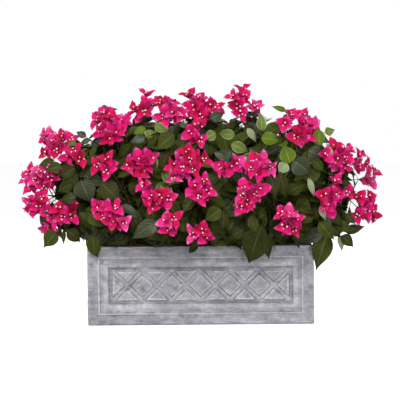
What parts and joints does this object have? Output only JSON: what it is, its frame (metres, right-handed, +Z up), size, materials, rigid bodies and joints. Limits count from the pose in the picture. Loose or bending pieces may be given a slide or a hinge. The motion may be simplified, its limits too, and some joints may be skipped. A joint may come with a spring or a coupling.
{
  "type": "artificial potted bougainvillea",
  "caption": "Artificial bougainvillea in magenta blossom, a wide low crown that hangs over a rectangular grey cast planter with a lattice panel.",
  "frame": {"origin": "middle of the planter's flat underside", "axes": "+X along the planter and the crown's length, +Z up out of the planter, -Y towards the side that the picture shows"},
  "size_m": [0.8102, 0.5214, 0.5412],
  "materials": {
    "cast_stone": "rough grey cast stone with chalky edges",
    "moss": "dry brown moss",
    "bark": "brown moulded plastic bark",
    "foliage": "dark green cloth leaves with magenta cloth bracts"
  },
  "bodies": {
    "root": {"planter": "cast_stone", "filling": "moss", "stem_1": "bark", "stem_2": "bark", "stem_3": "bark", "stem_4": "bark", "stem_5": "bark", "bough_front_1": "bark", "bough_front_2": "bark", "bough_front_3": "bark", "bough_front_4": "bark", "bough_front_5": "bark", "bough_back_1": "bark", "bough_back_2": "bark", "bough_back_3": "bark", "bough_back_4": "bark", "bough_back_5": "bark", "bough_top_1": "bark", "bough_top_2": "bark", "bough_top_3": "bark", "bough_top_4": "bark", "bough_left_end": "bark", "bough_right_end": "bark", "mass_front_1": "foliage", "mass_front_2": "foliage", "mass_front_3": "foliage", "mass_front_4": "foliage", "mass_front_5": "foliage", "mass_back_1": "foliage", "mass_back_2": "foliage", "mass_back_3": "foliage", "mass_back_4": "foliage", "mass_back_5": "foliage", "mass_top_1": "foliage", "mass_top_2": "foliage", "mass_top_3": "foliage", "mass_top_4": "foliage", "mass_left_end": "foliage", "mass_right_end": "foliage"}
  },
  "joints": []
}
